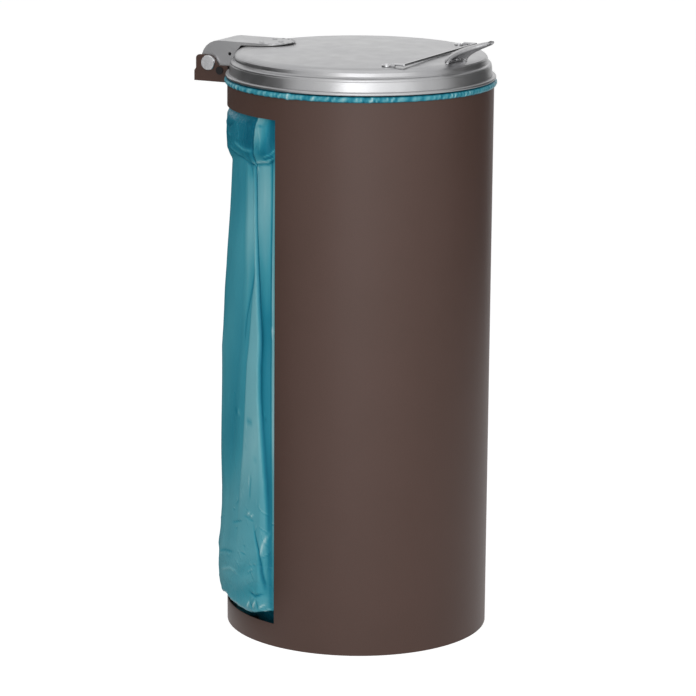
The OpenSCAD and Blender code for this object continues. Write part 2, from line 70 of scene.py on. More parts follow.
# Camera at the photograph's angle: beside and a little in front of the bin, long lens, from above
AZIMUTH = math.radians(-64)
ELEVATION = math.radians(13.1)
DISTANCE = 5.0
FOCAL_PX = 3275.0
FRAME_PX = 696.0
SENSOR = 36
ROLL = 0.0080
AIM_Z = 0.4267
ASIDE = 10.4 / FOCAL_PX * DISTANCE

back = Vector((math.sin(AZIMUTH) * math.cos(ELEVATION), -math.cos(AZIMUTH) * math.cos(ELEVATION),
               math.sin(ELEVATION)))
right = Vector((math.cos(AZIMUTH), math.sin(AZIMUTH), 0))
up = back.cross(right)
cam_data = bpy.data.cameras.new("camera")
cam_data.sensor_width = SENSOR
cam_data.lens = FOCAL_PX * SENSOR / FRAME_PX
cam = bpy.data.objects.new("camera", cam_data)
bpy.context.scene.collection.objects.link(cam)
cam.matrix_world = Matrix.Translation(Vector((0, 0, AIM_Z)) + back * DISTANCE - right * ASIDE) @ (
    Matrix((right, up, back)).transposed().to_4x4() @ Matrix.Rotation(ROLL, 4, "Z"))
cam_data.clip_end = 60
bpy.context.scene.camera = cam

scene = bpy.context.scene
scene.view_settings.view_transform = "Standard"


# Materials

def material(name, base, metallic=0.0, rough=0.5, coat=0.0, coat_rough=0.1, specular=0.5):
    m = bpy.data.materials.new(name)
    m.use_nodes = True
    b = m.node_tree.nodes["Principled BSDF"]
    b.inputs["Base Color"].default_value = (*base, 1)
    b.inputs["Metallic"].default_value = metallic
    b.inputs["Roughness"].default_value = rough
    b.inputs["Coat Weight"].default_value = coat
    b.inputs["Coat Roughness"].default_value = coat_rough
    b.inputs["Specular IOR Level"].default_value = specular
    return m, m.node_tree, b


def coords(tree, scale=(1, 1, 1)):
    c = tree.nodes.new("ShaderNodeTexCoord")
    m = tree.nodes.new("ShaderNodeMapping")
    m.inputs["Scale"].default_value = scale
    tree.links.new(c.outputs["Object"], m.inputs["Vector"])
    return m.outputs["Vector"]


def attribute(tree, name):
    n = tree.nodes.new("ShaderNodeAttribute")
    n.attribute_name = name
    return n.outputs["Fac"]


def noise(tree, vector, scale, detail=2.0, roughness=0.5, distortion=0.0):
    n = tree.nodes.new("ShaderNodeTexNoise")
    n.inputs["Scale"].default_value = scale
    n.inputs["Detail"].default_value = detail
    n.inputs["Roughness"].default_value = roughness
    n.inputs["Distortion"].default_value = distortion
    tree.links.new(vector, n.inputs["Vector"])
    return n.outputs["Fac"]


def ramp(tree, value, stops):
    r = tree.nodes.new("ShaderNodeValToRGB")
    e = r.color_ramp.elements
    while len(e) < len(stops):
        e.new(0.5)
    for i, (at, col) in enumerate(stops):
        e[i].position = at
        e[i].color = (*col, 1) if len(col) == 3 else col
    tree.links.new(value, r.inputs["Fac"])
    return r.outputs["Color"]


def span(tree, value, lo, hi, out_lo, out_hi):
    m = tree.nodes.new("ShaderNodeMapRange")
    for key, v in (("From Min", lo), ("From Max", hi), ("To Min", out_lo), ("To Max", out_hi)):
        m.inputs[key].default_value = v
    tree.links.new(value, m.inputs["Value"])
    return m.outputs["Result"]


def mix(tree, fac, a, b, blend="MIX"):
    m = tree.nodes.new("ShaderNodeMix")
    m.data_type = "RGBA"
    m.blend_type = blend
    for socket, v in ((m.inputs["Factor"], fac), (m.inputs[6], a), (m.inputs[7], b)):
        if isinstance(v, bpy.types.NodeSocket):
            tree.links.new(v, socket)
        elif isinstance(v, (int, float)):
            socket.default_value = v
        else:
            socket.default_value = (*v, 1)
    return m.outputs[2]


def bump(tree, b, height, strength, distance, under=None):
    n = tree.nodes.new("ShaderNodeBump")
    n.inputs["Strength"].default_value = strength
    n.inputs["Distance"].default_value = distance
    tree.links.new(height, n.inputs["Height"])
    if under is not None:
        tree.links.new(under, n.inputs["Normal"])
    tree.links.new(n.outputs["Normal"], b.inputs["Normal"])
    return n.outputs["Normal"]


def cell_creases(tree, scale, squash, width, mask):
    """Sharp creases between cells, only where the mask is high"""
    cells = tree.nodes.new("ShaderNodeTexVoronoi")
    cells.feature = "DISTANCE_TO_EDGE"
    cells.inputs["Scale"].default_value = scale
    tree.links.new(coords(tree, (1, 1, squash)), cells.inputs["Vector"])
    masked = tree.nodes.new("ShaderNodeMath")
    masked.operation = "MULTIPLY"
    tree.links.new(span(tree, cells.outputs["Distance"], 0.0, width, 0.0, 1.0), masked.inputs[0])
    tree.links.new(mask, masked.inputs[1])
    return masked.outputs[0]


def brown_coat():
    m, t, b = material("brown_coat", (0.094, 0.053, 0.042), 0.0, 0.48, specular=0.32)
    v = coords(t)
    cloud = noise(t, v, 9, 3)
    fleck = noise(t, v, 900, 2)
    colour = ramp(t, cloud, [(0.3, (0.091, 0.051, 0.040)), (0.7, (0.098, 0.055, 0.044))])
    speck = ramp(t, fleck, [(0.35, (0.86, 0.86, 0.86)), (0.68, (1.08, 1.08, 1.08))])
    t.links.new(mix(t, 0.5, colour, speck, "MULTIPLY"), b.inputs["Base Color"])
    t.links.new(span(t, fleck, 0.3, 0.7, 0.42, 0.54), b.inputs["Roughness"])
    peel = noise(t, v, 420, 2, 0.55)
    bump(t, b, peel, 0.25, 0.0004)
    return m


def lid_silver():
    m, t, b = material("lid_silver", (0.40, 0.40, 0.41), 0.85, 0.34, coat=0.1, coat_rough=0.2)
    v = coords(t)
    flake = noise(t, v, 1800, 1)
    cloud = noise(t, v, 14, 3)
    colour = ramp(t, cloud, [(0.3, (0.39, 0.39, 0.40)), (0.7, (0.42, 0.42, 0.425))])
    speck = ramp(t, flake, [(0.3, (0.86, 0.86, 0.86)), (0.7, (1.08, 1.08, 1.08))])
    t.links.new(mix(t, 0.6, colour, speck, "MULTIPLY"), b.inputs["Base Color"])
    t.links.new(span(t, noise(t, v, 40, 4), 0.3, 0.7, 0.30, 0.40), b.inputs["Roughness"])
    bump(t, b, noise(t, v, 700, 2), 0.12, 0.0002)
    return m


def steel(name, base, rough, scale=(1, 1, 1), streak=600, strength=0.15):
    m, t, b = material(name, base, 1.0, rough)
    v = coords(t, scale)
    s = noise(t, v, streak, 2)
    wear = noise(t, coords(t), 60, 3)
    low = tuple(0.88 * c for c in base)
    high = tuple(min(1, 1.08 * c) for c in base)
    t.links.new(ramp(t, wear, [(0.3, low), (0.7, high)]), b.inputs["Base Color"])
    t.links.new(span(t, s, 0.3, 0.7, rough * 0.8, rough * 1.25), b.inputs["Roughness"])
    bump(t, b, s, strength, 0.0002)
    return m


def film():
    m, t, b = material("blue_film", (0.06, 0.40, 0.50), 0.0, 0.26, specular=0.12)
    # painted light and shade: from the painted shade of a dark fold to a painted highlight where the film
    # looks lit through
    colour = ramp(t, attribute(t, "fold_and_painted_light"), [
        (0.0, (0.004, 0.150, 0.235)), (0.25, (0.020, 0.270, 0.380)), (0.48, (0.070, 0.400, 0.500)),
        (0.75, (0.225, 0.570, 0.640)), (1.0, (0.600, 0.860, 0.890))])
    v = coords(t, (1, 1, 0.35))
    cloud = noise(t, v, 16, 2, 0.5, 0.4)
    shade = ramp(t, cloud, [(0.3, (0.86, 0.92, 0.94)), (0.7, (1.10, 1.06, 1.05))])
    t.links.new(mix(t, 0.8, colour, shade, "MULTIPLY"), b.inputs["Base Color"])
    t.links.new(span(t, cloud, 0.3, 0.7, 0.26, 0.36), b.inputs["Roughness"])
    crush = attribute(t, "crush")
    small = bump(t, b, cell_creases(t, 190, 0.9, 0.10, crush), 0.30, 0.0006)
    large = bump(t, b, cell_creases(t, 62, 0.8, 0.12, crush), 0.35, 0.0012, small)
    bump(t, b, noise(t, v, 55, 2, 0.5, 0.5), 0.15, 0.0022, large)
    return m


MATS = {
    "brown_coat": brown_coat(),
    "lid_silver": lid_silver(),
    "bright_steel": steel("bright_steel", (0.50, 0.50, 0.51), 0.15, (0.05, 1, 1), 500, 0.10),
    "dark_steel": steel("dark_steel", (0.035, 0.035, 0.037), 0.32),
    "zinc": steel("zinc", (0.52, 0.52, 0.53), 0.42, (1, 1, 1), 300, 0.25),
    "blue_film": film(),
}
SLOT = {s["node"]: s["material_slot"] for s in frame["record"]["subparts"]}
for name, o in NODES.items():
    o.data.materials.clear()
    o.data.materials.append(MATS[SLOT[name]])


def mesh_object(name, verts, faces, mat, smooth=True):
    me = bpy.data.meshes.new(name)
    me.from_pydata([tuple(v) for v in verts], [], [tuple(f) for f in faces])
    me.update()
    me.polygons.foreach_set("use_smooth", [smooth] * len(me.polygons))
    o = bpy.data.objects.new(name, me)
    o.data.materials.append(mat)
    bpy.context.scene.collection.objects.link(o)
    return o


# The sack: a film bag turned over the ring, hanging in pleats and bulging out at the back.
# Angles are in degrees from the back of the bin and grow towards +X, so the side that the
# camera sees is negative. Heights and radii are in metres, fold depths in millimetres.

def smooth_step(x):
    x = np.clip(x, 0, 1)
    return x * x * (3 - 2 * x)


def waves(seed, count, per_height, per_turn):
    """Smooth waves over height and angle, the same on every run, from about -1 to 1"""
    r = np.random.RandomState(seed)
    parts = [(r.uniform(*per_height), r.randint(*per_turn), r.uniform(0, 2 * np.pi), r.uniform(0.5, 1))
             for _ in range(count)]
    total = sum(q[3] for q in parts)

    def value(z, a):
        v = 0
        for kz, ka, phase, gain in parts:
            v = v + gain * np.cos(kz * z + ka * np.radians(a) + phase)
        return v / total * 1.8
    return value


WIDE = waves(5, 14, (8, 30), (3, 12))
FINE = waves(11, 18, (60, 190), (6, 34))

# How far the film stands out past the shell, in millimetres, at a height
OUT = np.array([
    (0.0375, -2.8), (0.047, 8), (0.053, 11), (0.083, 13), (0.115, 13), (0.146, 9.8), (0.18, 7.6), (0.21, 7),
    (0.27, 8), (0.43, 8), (0.46, 5.6), (0.49, 3.9), (0.523, 2.5), (0.555, 0.4), (0.586, -1), (0.62, -3.1),
    (0.65, -5), (0.68, -6.7), (0.711, -8.2), (0.7175, -8.6), (0.726, -4.2), (0.736, -0.3), (0.76, 0.9),
    (0.777, 0.2), (0.795, -1), (0.799, -2.5)])
# Lower edge of the film at the side, where it tucks in above the bottom band
HANG = np.array([(28, 0.040), (34, 0.050), (44, 0.056), (49, 0.052), (58, 0.049), (64.5, 0.045),
                 (68.5, 0.048), (72, 0.054), (78, 0.054)])
# Height of the pinch under the upper bulge, round the side
PINCH = np.array([(26, 0.718), (45, 0.731), (52, 0.733), (60, 0.7285), (67, 0.732), (73, 0.737),
                  (77.6, 0.746)])
# Radii of the film inside the shell: largest in the ring, beside the opening, and round the front
FILM_IN = 0.1968
BESIDE_OPENING = 0.1945
ROUND_FRONT = 0.1915
# Radius where the film's tucked edge goes inside the bottom band
TUCKED = 0.164
# Range of fold depths, in millimetres
DEEPEST, PROUDEST = -9, 5

# Folds that run down the side that shows: where each lies at a height, how far it stands out or
# in, and the painted light and shade on its film, each as (height, value) pairs from the floor up
FOLDS = [
    # smooth left part of the bulge
    ([(0.06, 24)], [(0.06, 0)], [(0.06, 0.58), (0.20, 0.56), (0.30, 0.47)]),
    ([(0.06, 34)], [(0.10, 0), (0.40, 0.8), (0.75, 0.3)],
     [(0.06, 0.62), (0.20, 0.61), (0.30, 0.51), (0.73, 0.44), (0.76, 0.18)]),
    # shallow streak with painted shade
    ([(0.06, 38), (0.20, 44), (0.29, 50), (0.45, 57), (0.56, 56.5), (0.73, 53), (0.80, 46)],
     [(0.10, 0), (0.30, -1.3), (0.73, -1.1), (0.76, 0.4)],
     [(0.06, 0.60), (0.20, 0.56), (0.30, 0.38), (0.73, 0.38), (0.76, 0.16)]),
    # soft strip of painted light beside the deep fold, high up
    ([(0.06, 46), (0.20, 50), (0.29, 55), (0.45, 60.5), (0.56, 60.5), (0.65, 58.5), (0.73, 57), (0.80, 53)],
     [(0.06, 0), (0.55, 0), (0.62, 0.8), (0.70, 0.8), (0.76, 0)],
     [(0.06, 0.57), (0.20, 0.56), (0.30, 0.42), (0.50, 0.46), (0.60, 0.60), (0.70, 0.62), (0.73, 0.50),
      (0.76, 0.12)]),
    # left border of the facet with painted light
    ([(0.06, 55.5), (0.20, 55.5), (0.29, 59.5), (0.45, 63), (0.57, 65), (0.65, 62.3), (0.73, 60.6),
      (0.80, 58)],
     [(0.15, 0), (0.35, -0.6), (0.70, -0.9), (0.76, 0.2)],
     [(0.06, 0.58), (0.20, 0.56), (0.30, 0.44), (0.56, 0.40), (0.62, 0.62), (0.70, 0.62), (0.76, 0.10)]),
    ([(0.06, 56.4), (0.20, 56.4), (0.29, 60.4), (0.45, 63.9), (0.57, 65.7), (0.65, 63), (0.73, 61.4),
      (0.80, 59)],
     [(0.06, 0.2), (0.40, 0.6), (0.73, 0.3)],
     [(0.06, 0.56), (0.18, 0.60), (0.26, 0.70), (0.38, 0.74), (0.60, 0.62), (0.73, 0.55), (0.76, 0.08)]),
    # facet with painted light up to the deep fold
    ([(0.06, 74.6), (0.20, 73.4), (0.25, 72.9), (0.31, 71.7), (0.38, 70.3), (0.47, 69.9), (0.56, 66.9),
      (0.65, 63.7), (0.73, 62.2), (0.80, 64.1)],
     [(0.06, 0.4), (0.25, 2.0), (0.60, 2.0), (0.75, 0.6)],
     [(0.06, 0.50), (0.18, 0.56), (0.26, 0.70), (0.60, 0.76), (0.73, 0.58), (0.76, 0.08)]),
    # deep sharp fold, with painted shade in it
    ([(0.06, 75.2), (0.20, 74.1), (0.25, 73.6), (0.31, 72.4), (0.38, 71), (0.47, 70.6), (0.56, 67.6),
      (0.65, 64.4), (0.73, 62.9), (0.80, 64.8)],
     [(0.06, -0.5), (0.20, -2.6), (0.30, -4.4), (0.70, -4.2), (0.80, -2.6)],
     [(0.06, 0.30), (0.20, 0.12), (0.30, 0.04), (0.73, 0.02), (0.80, 0.06)]),
    ([(0.06, 75.5), (0.20, 74.9), (0.25, 74.4), (0.31, 73.5), (0.38, 72.4), (0.47, 72.1), (0.56, 69.1),
      (0.65, 65.9), (0.73, 64.4), (0.80, 66)],
     [(0.06, -0.3), (0.25, -2.4), (0.48, -3.0), (0.63, 0.4), (0.80, 0.8)],
     [(0.06, 0.26), (0.30, 0.15), (0.48, 0.15), (0.60, 0.50), (0.73, 0.64), (0.752, 0.50), (0.78, 0.85)]),
    # strip beyond it: painted shade low down, painted light above
    ([(0.06, 75.7), (0.20, 75.3), (0.31, 74.3), (0.37, 73.8), (0.47, 73.5), (0.56, 72.2), (0.66, 70.4),
      (0.80, 69.5)],
     [(0.06, -0.2), (0.30, -3.0), (0.50, -2.8), (0.66, 0.8), (0.76, 1.6)],
     [(0.06, 0.28), (0.30, 0.20), (0.50, 0.26), (0.60, 0.62), (0.73, 0.72), (0.75, 0.22), (0.775, 0.66)]),
    ([(0.06, 75.8), (0.30, 74.9), (0.47, 74.7), (0.60, 73.9), (0.73, 73), (0.80, 72)],
     [(0.06, 0), (0.30, -2.6), (0.50, -2.6), (0.66, 0.5), (0.76, 1.0)],
     [(0.06, 0.30), (0.50, 0.24), (0.62, 0.60), (0.73, 0.62), (0.75, 0.12), (0.785, 0.45)]),
    ([(0.06, 75.9), (0.30, 75.2), (0.47, 75), (0.60, 74.5), (0.80, 74.1)],
     [(0.06, 0), (0.20, -1.2), (0.50, -2.7), (0.70, -2.7), (0.77, -1.2)],
     [(0.06, 0.34), (0.30, 0.20), (0.60, 0.08), (0.72, 0.08), (0.77, 0.10)]),
    # thin ridge with a painted highlight beside the shell's edge
    ([(0.06, 76.1), (0.45, 75.7), (0.60, 75.3), (0.80, 75.5)],
     [(0.06, 0.2), (0.30, 1.6), (0.60, 1.6), (0.75, -1.0)],
     [(0.06, 0.40), (0.15, 0.60), (0.30, 0.92), (0.60, 0.85), (0.73, 0.50), (0.77, 0.08)]),
    ([(0.06, 78.2)], [(0.06, 0)], [(0.06, 0.30)]),
]


def pleats(seed, start, end):
    """Folds round the rest of the opening: broad facets with painted light between valleys with painted
    shade, which wander and fade downwards
    """
    r = np.random.RandomState(seed)
    out = []
    a = start
    while a < end:
        width = r.choice([r.uniform(6, 9), r.uniform(11, 19)])
        lean, sway, foot = r.uniform(-7, 7), r.uniform(-2, 2), r.uniform(0.08, 0.42)
        high, deep = r.uniform(0.8, 2.2), -r.uniform(2.2, 4.6)
        # painted light on the facets and painted shade in the valleys
        facet_painted_light, mid, valley_painted_shade = r.uniform(0.55, 0.78), r.uniform(0.26, 0.42), r.uniform(0.02, 0.14)
        for share, depth, painted_light in ((0.0, -0.2 * high, mid), (r.uniform(0.25, 0.5), 0.4 * high, mid + 0.08),
                                   (0.55, 0.5 * high, facet_painted_light - 0.1), (0.93, high, facet_painted_light), (1.0, deep, valley_painted_shade)):
            at = a + share * width
            if at < end - 0.5:
                line = [(0.06, at + lean), (0.42, at + 0.6 * lean + sway), (0.73, at),
                        (0.80, at + r.uniform(-2, 2))]
                out.append((line, [(foot, 0), (foot + 0.25, 0.7 * depth), (0.73, depth)],
                            [(foot, 0.45), (foot + 0.15, 0.5 * painted_light + 0.22), (0.60, painted_light)]))
        a += width + r.uniform(0.5, 3)
    return out


def mirrored(folds):
    return [([(z, -a) for z, a in line], depth, painted_light) for line, depth, painted_light in folds]


ALL_FOLDS = mirrored(FOLDS) + pleats(29, -24, 77) + [([(0.06, 78)], [(0.06, 0)], [(0.06, 0.4)])]


def at_height(pairs, z):
    return float(np.interp(z, [p[0] for p in pairs], [p[1] for p in pairs]))


def folds_at(z, a):
    """Fold depth and painted light and shade along one ring of the film"""
    rows = sorted(tuple(at_height(pairs, z) for pairs in fold_and_painted_light) for fold_and_painted_light in ALL_FOLDS)
    at = np.array([q[0] for q in rows])
    at = np.maximum.accumulate(at + np.arange(len(at)) * 1e-4)
    return np.interp(a, at, [q[1] for q in rows], 0, 0), np.interp(a, at, [q[2] for q in rows], 0.4, 0.4)


# Creases: points as (angle, height), half width in mm, depth in mm, and change of painted light and shade (a
# painted highlight above zero, painted shade below)
CREASES = [
    ([(51.9, .733), (57.7, .7287), (62.6, .7286), (67.4, .7318), (71.8, .7336), (77.6, .746)],
     3.0, -2.6, -.30),
    ([(60, .7325), (64, .7330), (67.4, .7362), (71.8, .738), (77.6, .7505)], 2.2, 1.2, .45),
    ([(46.3, .757), (57.2, .7497), (65.0, .7504)], 3.2, 1.6, .38),
    ([(40, .7465), (46.3, .741), (53, .7395)], 2.2, 1.0, .25),
    ([(36, .7440), (46, .7360), (55, .7330)], 1.8, -1.0, -.30),
    ([(50, .7900), (53, .7700), (52, .7560)], 1.8, .8, .20),
    ([(59, .7950), (60.5, .7750), (60, .7620)], 1.8, -.9, -.22),
    ([(67.5, .7900), (69.5, .7700), (69, .7500)], 1.8, .9, .20),
    ([(70, .7440), (74, .7500), (77, .7600)], 1.8, 1.0, .45),
    ([(69, .7400), (73, .7440), (77, .7480)], 1.4, -1.0, -.35),
    ([(65.7, .575), (64.3, .5526), (61.1, .497), (60.4, .455)], 2.2, -1.3, -.35),
    ([(66.4, .262), (65.4, .240), (65.0, .222)], 2.0, -1.0, -.28),
    ([(65.2, .262), (64.4, .238)], 1.8, .9, .16),
    ([(67.7, .184), (69.4, .163), (71.3, .1475), (72.6, .121), (73.7, .097), (74.2, .078)], 3.0, -3.0, -.5),
    ([(75.0, .179), (73.0, .159), (72.1, .136)], 2.4, 1.6, .40),
    ([(64.8, .2834), (70.5, .2874)], 1.8, -.7, -.16),
    ([(62.8, .306), (70.0, .310)], 1.8, .6, .12),
    ([(63.4, .197), (65.5, .203)], 1.8, 1.2, .45),
    ([(65.6, .196), (67.8, .201)], 1.6, 1.2, .45),
    ([(60.5, .194), (68.5, .190)], 2.0, -.8, -.15),
    ([(49.9, .173), (59.5, .186)], 2.2, -1.0, -.20),
    ([(33.5, .111), (44, .124), (54.6, .131)], 2.6, -1.4, -.22),
    ([(38, .086), (52, .104), (60, .098)], 2.6, 1.2, .22),
    # small creases with painted highlights at the pinch
    ([(61.2, .7335), (63.2, .726), (64.6, .716)], 1.5, 1.6, .55),
    ([(63.0, .7350), (64.6, .728), (66.0, .720)], 1.3, 1.2, .40),
    ([(58.0, .7300), (60.0, .7220), (61.0, .7100)], 1.5, -.8, -.20),
    # small crease with a painted highlight
    ([(75.0, .4905), (75.8, .4845), (75.2, .478)], 1.8, 1.4, .6),
    # crumple near the bottom: painted highlights and painted shade in turn
    ([(64.8, .054), (66.8, .066)], 2.0, 2.2, .55),
    ([(66.8, .066), (68.2, .054)], 2.0, -2.0, -.4),
    ([(68.4, .055), (70.6, .070)], 1.8, 2.4, .6),
    ([(70.6, .070), (71.6, .056)], 1.8, -2.2, -.4),
    ([(71.8, .058), (74.2, .066)], 1.8, 2.0, .5),
    ([(73.0, .052), (76.0, .058)], 1.8, 1.6, .45),
    ([(66, .080), (70, .076), (74, .082)], 2.6, -2.4, -.45),
    ([(58, .794), (66, .788), (72, .792)], 2.4, -1.2, -.3),
    ([(31, .783), (40, .776), (47, .785)], 2.4, -1.4, -.35),
    ([(36, .768), (44, .763)], 2.2, 1.0, .3),
]


def small_creases():
    """Short creases where the film is crushed: near the floor, and in the bulge under the ring, each a pair
    with a painted highlight on one side and painted shade on the other
    """
    r = np.random.RandomState(7)
    out = []
    for low, high, count in ((0.048, 0.215, 150), (0.742, 0.79, 40), (0.215, 0.40, 50)):
        for _ in range(count):
            a, z = r.uniform(-76, 76), r.uniform(low, high)
            turn, reach = r.uniform(0, math.pi), r.uniform(0.007, 0.030)
            da = math.degrees(math.cos(turn) * reach / R)
            dz = math.sin(turn) * reach * (0.5 if low > 0.7 else 1)
            mid = (a + da / 2 + r.uniform(-1, 1), z + dz / 2)
            # depth and painted light and shade of each crease pair
            deep, shade = r.uniform(0.4, 1.1), r.uniform(0.08, 0.26)
            shift = r.uniform(1.3, 1.9) * MM
            for sign, off in ((-1, 0), (1, shift)):
                line = [(-a, z + off), (-mid[0], mid[1] + off), (-a - da, z + dz + off)]
                out.append((line, r.uniform(1.3, 1.9), sign * deep, sign * shade))
    # shallow creases with painted shade in the bulge under the ring
    for _ in range(16):
        a = r.uniform(-70, 20)
        out.append(([(a, r.uniform(0.74, 0.75)), (a + r.uniform(-4, 4), 0.765), (a + r.uniform(-8, 8), 0.79)],
                    r.uniform(2, 3), r.uniform(-1.6, -0.6), r.uniform(-0.3, -0.1)))
    return out


ALL_CREASES = CREASES + small_creases()


def crease_field(a, z):
    """Depth and painted light and shade of the creases over the whole film, for grids of angle and height"""
    depth, painted_light = np.zeros_like(a), np.zeros_like(a)
    for points, width, deep, shade in ALL_CREASES:
        pts = np.array([(math.radians(-q[0]) * R / MM, q[1] / MM) for q in points])
        x, y = np.radians(a) * R / MM, z / MM
        lo, hi = pts.min(0) - 3 * width, pts.max(0) + 3 * width
        near = (x > lo[0]) & (x < hi[0]) & (y > lo[1]) & (y < hi[1])
        if not near.any():
            continue
        px, py = x[near], y[near]
        best = np.full(px.shape, 1e9)
        along = np.zeros(px.shape)
        steps = np.hypot(*np.diff(pts, axis=0).T)
        start = 0
        for k in range(len(pts) - 1):
            d = pts[k + 1] - pts[k]
            t = np.clip(((px - pts[k][0]) * d[0] + (py - pts[k][1]) * d[1]) / (d @ d), 0, 1)
            dist = np.hypot(px - pts[k][0] - t * d[0], py - pts[k][1] - t * d[1])
            closer = dist < best
            best = np.where(closer, dist, best)
            along = np.where(closer, (start + t * steps[k]) / steps.sum(), along)
            start += steps[k]
        # a crease fades towards both of its ends
        ends = np.clip(np.minimum(along, 1 - along) / 0.22, 0.12, 1)
        value = np.clip(1 - best / width, 0, 1) * ends
        depth[near] += deep * value
        # painted light along the crease, painted shade where its change is below zero
        painted_light[near] += shade * value
    return depth, painted_light


def film_columns():
    return np.concatenate([np.arange(-80, -62, 0.45), np.arange(-62, -30, 0.65), np.arange(-30, 80.5, 1.6),
                           np.arange(85, 280, 6.5)])


def band_columns():
    return np.arange(-80, 280, 0.9)


def film_rings():
    return np.concatenate([np.arange(0.006, 0.042, 0.0045), np.arange(0.042, 0.215, 0.0024),
                           np.arange(0.215, 0.70, 0.0080), np.arange(0.70, 0.765, 0.0022),
                           np.arange(0.765, 0.812, 0.0031)])


def film_shape(a, z):
    """Radius and painted light and shade of the film's outer skin for grids of angle and height"""
    b = np.abs(a)
    is_open = (smooth_step((OPENING_HALF - 0.3 - b) / 6) * smooth_step((z - OPENING_LOW - 0.002) / 0.008)
               * smooth_step((OPENING_TOP - 0.002 - z) / 0.012))
    pinch = np.interp(b, PINCH[:, 0], PINCH[:, 1])
    shift = (pinch - 0.7175) * smooth_step(1 - np.abs(z - 0.725) / 0.07)
    stand = np.interp(z - shift, OUT[:, 0], OUT[:, 1]) * MM
    hang = np.interp(b, HANG[:, 0], HANG[:, 1])
    tuck = smooth_step((hang - z) / 0.007) * smooth_step((b - 28) / 10)
    outside = R + stand * (1 - tuck) - 0.036 * tuck
    nuts = smooth_step((z - 0.788) / 0.008) * smooth_step((20 - b) / 6) * smooth_step((0.8356 - z) / 0.012)
    inside = np.where(b < 100, BESIDE_OPENING, ROUND_FRONT) - 0.0065 * nuts
    inside = np.where(z > 0.802, np.minimum(inside, FILM_IN - 0.0025), inside)
    depth, painted_light = np.zeros_like(a), np.full_like(a, 0.45)
    for i in range(a.shape[0]):
        depth[i], painted_light[i] = folds_at(z[i, 0], a[i])
    more, shade = crease_field(a, z)
    low = smooth_step((0.20 - z) / 0.15)
    broad = 1.3 * WIDE(z, a) * smooth_step((z - 0.03) / 0.1) * smooth_step((0.73 - z) / 0.1)
    crumple = 1.5 * FINE(z, a) * low * smooth_step((z - 0.03) / 0.03)
    room = 0.35 + 0.65 * is_open
    total = depth * np.where(z > 0.735, 0.8, 1) + more + broad + crumple
    r = inside * (1 - is_open) + outside * is_open + np.clip(total, DEEPEST, PROUDEST) * MM * room
    r = np.where(z < hang, np.minimum(r, inside - (inside - TUCKED) * tuck), r)
    # painted light and shade from folds and creases, lighter where the crumples stand out, plus tone that
    # varies at random; painted shade where the film tucks in under the bottom band
    painted_light = painted_light + shade + 0.10 * WIDE(z * 1.7 + 2, a) + 0.06 * FINE(z, a) * low
    return r, painted_light * (1 - 0.9 * tuck), is_open


def around(r, a, z):
    return np.stack([r * np.sin(np.radians(a)), r * np.cos(np.radians(a)), z + np.zeros_like(a)], -1)


def join_rings(low, low_at, high, high_at):
    """Triangles between two closed rings of points whose columns stand at different angles"""
    faces = []
    i = k = 0
    n, m = len(low_at), len(high_at)
    low_next = np.append(low_at[1:], low_at[0] + 360)
    high_next = np.append(high_at[1:], high_at[0] + 360)
    while i < n or k < m:
        if k == m or (i < n and low_next[i] <= high_next[k]):
            faces.append((low + i % n, low + (i + 1) % n, high + k % m))
            i += 1
        else:
            faces.append((low + i % n, high + (k + 1) % m, high + k % m))
            k += 1
    return faces


def skin_faces(start, rows):
    """Faces of one skin: rows are lists of column angles, from the floor up to the turned edge"""
    faces = []
    at = start
    for low, high in zip(rows, rows[1:]):
        n = len(low)
        if len(high) == n:
            faces += [(at + k, at + (k + 1) % n, at + n + (k + 1) % n, at + n + k) for k in range(n)]
        else:
            faces += join_rings(at, low, at + n, high)
        at += n
    return faces


def grid_normals(points):
    along = np.gradient(points, axis=0)
    across = np.gradient(np.concatenate([points[:, -1:], points, points[:, :1]], 1), axis=1)[:, 1:-1]
    normal = np.cross(across, along)
    return normal / (np.linalg.norm(normal, axis=2, keepdims=True) + 1e-12)


def body_rows(a):
    """The film from the middle of the floor up to just under the ring"""
    wrap = (a + 180) % 360 - 180
    rings, painted_lights = [], []
    for r in (0.03, 0.07, 0.11, 0.145):
        rise = 0.5 * MM * (1 + FINE(r * 3, wrap)) * (r / 0.178)
        rings.append(around(np.full(len(a), r), a, FLOOR_Z + rise))
        # painted shade on the film lying on the floor inside the bin
        painted_lights.append(np.full(len(a), 0.3))
    z = film_rings()
    grid_a = np.broadcast_to(wrap, (len(z), len(a))).copy()
    grid_z = np.broadcast_to(z[:, None], (len(z), len(a))).copy()
    r, painted_light, _ = film_shape(grid_a, grid_z)
    r = np.where(grid_z < OPENING_LOW + 0.003, np.minimum(r, FILM_IN - 0.002), r)
    r = r - 0.009 * (1 - smooth_step((grid_z - 0.004) / 0.030))
    for i in range(len(z)):
        rings.append(around(r[i], a, grid_z[i]))
        painted_lights.append(painted_light[i])
    return np.array(rings), np.array(painted_lights)


